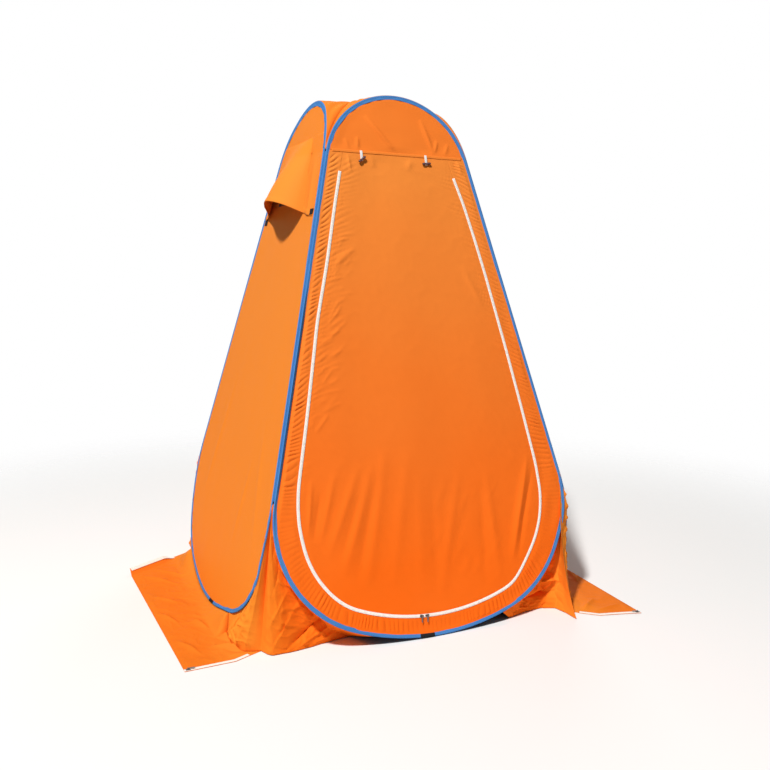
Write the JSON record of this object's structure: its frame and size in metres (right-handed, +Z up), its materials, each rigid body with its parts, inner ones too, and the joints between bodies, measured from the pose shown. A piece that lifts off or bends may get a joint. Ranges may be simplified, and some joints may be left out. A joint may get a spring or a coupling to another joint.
{
  "type": "pop-up privacy tent",
  "caption": "Four sprung wire hoops with cloth walls sewn into a leaning square column, with a zipped door, a hooded window and ground flaps.",
  "frame": {"origin": "on the ground, at the middle of the box that holds the tent and its flaps in plan", "axes": "+Z up, +X to the right as seen from in front of the door, the door wall faces -Y"},
  "size_m": [1.755, 1.5036, 1.9088],
  "materials": {
    "orange_cloth": "thin coated polyester, plain weave",
    "ground_cloth": "thin coated polyester, creased",
    "blue_binding": "woven binding tape",
    "black_wrap": "black woven tape",
    "spring_steel": "bright drawn wire",
    "zip_tape": "white zip tape with a coil",
    "zip_slider": "dark die-cast, worn",
    "tie_strap": "white elastic",
    "tie_toggle": "moulded, satin",
    "window_net": "dark insect net"
  },
  "bodies": {
    "back_wall": {"back_hoop_binding": "blue_binding", "back_hoop_ferrule": "spring_steel", "back_hoop_wire": "spring_steel", "back_hoop_wrap": "black_wrap", "back_wall_panel": "orange_cloth"},
    "left_wall": {"corner_seam_back_left": "orange_cloth", "gusset_back_left": "orange_cloth", "hood_tab_rear": "black_wrap", "left_hoop_binding": "blue_binding", "left_hoop_ferrule": "spring_steel", "left_hoop_wire": "spring_steel", "left_hoop_wrap": "black_wrap", "left_skirt": "ground_cloth", "left_wall_panel": "orange_cloth", "window_net": "window_net"},
    "right_wall": {"corner_seam_back_right": "orange_cloth", "gusset_back_right": "orange_cloth", "right_hoop_binding": "blue_binding", "right_hoop_ferrule": "spring_steel", "right_hoop_wire": "spring_steel", "right_hoop_wrap": "black_wrap", "right_skirt": "ground_cloth", "right_wall_panel": "orange_cloth"},
    "front_wall": {"corner_seam_front_left": "orange_cloth", "corner_seam_front_right": "orange_cloth", "frame_zip_tape": "zip_tape", "front_frame_panel": "orange_cloth", "front_hoop_binding": "blue_binding", "front_hoop_ferrule": "spring_steel", "front_hoop_wire": "spring_steel", "front_hoop_wrap": "black_wrap", "front_seam_tape": "orange_cloth", "front_top_panel": "orange_cloth", "gusset_front_left": "orange_cloth", "gusset_front_right": "orange_cloth", "roof_panel": "orange_cloth"},
    "door": {"door_panel": "orange_cloth", "door_zip_tape": "zip_tape"},
    "door_pull_left": {"door_pull_left": "zip_slider"},
    "door_pull_right": {"door_pull_right": "zip_slider"},
    "door_slider_left": {"door_slider_left": "zip_slider"},
    "door_slider_right": {"door_slider_right": "zip_slider"},
    "hood": {"hood_tab_front": "black_wrap", "window_hood": "orange_cloth"},
    "left_flap": {"left_flap": "ground_cloth", "left_flap_zip_front": "zip_tape", "left_flap_zip_rear": "zip_tape"},
    "left_flap_pull": {"left_flap_pull": "zip_slider"},
    "left_flap_slider": {"left_flap_slider": "zip_slider"},
    "right_flap": {"right_flap": "ground_cloth", "right_flap_zip_front": "zip_tape"},
    "right_flap_pull": {"right_flap_pull": "zip_slider"},
    "right_flap_slider": {"right_flap_slider": "zip_slider"},
    "tie_left": {"tie_strap_left": "tie_strap"},
    "tie_right": {"tie_strap_right": "tie_strap"},
    "toggle_left": {"tie_toggle_left": "tie_toggle"},
    "toggle_right": {"tie_toggle_right": "tie_toggle"}
  },
  "joints": [
    {"name": "left_wall_fold", "type": "hinge", "parent": "front_wall", "child": "left_wall", "pos_m": [-0.6368, -0.62413, 0.0054], "axis": [-0.2258, -0.2258, -0.9477], "range_deg": [0, 86], "stiffness_Nm_per_rad": 3, "springref_deg": -22.92, "deforming": ["roof_panel", "gusset_front_left", "left_skirt"]},
    {"name": "right_wall_fold", "type": "hinge", "parent": "front_wall", "child": "right_wall", "pos_m": [0.7318, -0.62413, 0.0054], "axis": [0.2258, -0.2258, -0.9477], "range_deg": [0, 85], "deforming": ["gusset_front_right", "gusset_back_right", "corner_seam_back_right", "right_skirt"]},
    {"name": "back_wall_fold", "type": "hinge", "parent": "left_wall", "child": "back_wall", "pos_m": [-0.6368, 0.74447, 0.0054], "axis": [0.2258, -0.2258, 0.9477], "range_deg": [0, 85], "deforming": ["gusset_back_left"]},
    {"name": "hood_lift", "type": "hinge", "parent": "left_wall", "child": "hood", "pos_m": [-0.22346, 0.06017, 1.76156], "axis": [0, 1, 0], "range_deg": [0, 100]},
    {"name": "door_open", "type": "hinge", "parent": "front_wall", "child": "door", "pos_m": [0.0475, -0.24176, 1.62811], "axis": [-1, 0, 0], "range_deg": [0, 110]},
    {"name": "door_slider_left_run", "type": "hinge", "parent": "door", "child": "door_slider_left", "pos_m": [0.0475, -0.42181, 0.8702], "axis": [0, 0.9728, -0.2317], "range_deg": [0, 15.5]},
    {"name": "door_slider_right_run", "type": "hinge", "parent": "door", "child": "door_slider_right", "pos_m": [0.0475, -0.42181, 0.8702], "axis": [0, -0.9728, 0.2317], "range_deg": [0, 23]},
    {"name": "door_pull_left_swing", "type": "hinge", "parent": "door_slider_left", "child": "door_pull_left", "pos_m": [-0.0215, -0.6174, 0.07787], "axis": [-0.9964, 0.0195, 0.082], "range_deg": [0, 150]},
    {"name": "door_pull_right_swing", "type": "hinge", "parent": "door_slider_right", "child": "door_pull_right", "pos_m": [-0.0005, -0.61775, 0.07641], "axis": [-0.9983, 0.0136, 0.057], "range_deg": [0, 150]},
    {"name": "tie_left_swing", "type": "hinge", "parent": "front_wall", "child": "tie_left", "pos_m": [-0.1025, -0.22739, 1.69664], "axis": [-1, 0, 0], "range_deg": [0, 150]},
    {"name": "tie_right_swing", "type": "hinge", "parent": "front_wall", "child": "tie_right", "pos_m": [0.1565, -0.22739, 1.69664], "axis": [-1, 0, 0], "range_deg": [0, 150]},
    {"name": "toggle_left_turn", "type": "hinge", "parent": "tie_left", "child": "toggle_left", "pos_m": [-0.1025, -0.23996, 1.66545], "axis": [0, -0.9728, 0.2317], "range_deg": [-80, 80]},
    {"name": "toggle_right_turn", "type": "hinge", "parent": "tie_right", "child": "toggle_right", "pos_m": [0.1565, -0.23996, 1.66545], "axis": [0, -0.9728, 0.2317], "range_deg": [-80, 80]},
    {"name": "left_flap_turn", "type": "hinge", "parent": "left_wall", "child": "left_flap", "pos_m": [-0.6588, -0.00383, 0.001], "axis": [0, 1, 0], "range_deg": [0, 98]},
    {"name": "right_flap_turn", "type": "hinge", "parent": "right_wall", "child": "right_flap", "pos_m": [0.7538, -0.09983, 0.001], "axis": [0, -1, 0], "range_deg": [0, 98]},
    {"name": "left_flap_slider_run", "type": "slide", "parent": "left_flap", "child": "left_flap_slider", "axis": [0.9991, 0.0421, 0], "range_m": [0, 0.12]},
    {"name": "right_flap_slider_run", "type": "slide", "parent": "right_flap", "child": "right_flap_slider", "axis": [-0.9633, 0.2683, 0], "range_m": [0, 0.045]},
    {"name": "left_flap_pull_swing", "type": "hinge", "parent": "left_flap_slider", "child": "left_flap_pull", "pos_m": [-0.81281, -0.54233, 0.00715], "axis": [0.0421, -0.9991, 0], "range_deg": [0, 150]},
    {"name": "right_flap_pull_swing", "type": "hinge", "parent": "right_flap_slider", "child": "right_flap_pull", "pos_m": [0.82282, -0.74187, 0.00715], "axis": [0.2683, 0.9633, 0], "range_deg": [0, 150]}
  ],
  "couplings": [
    {"joint": "right_wall_fold", "follows": "left_wall_fold", "ratio": 0.983},
    {"joint": "back_wall_fold", "follows": "left_wall_fold", "ratio": 0.983}
  ]
}
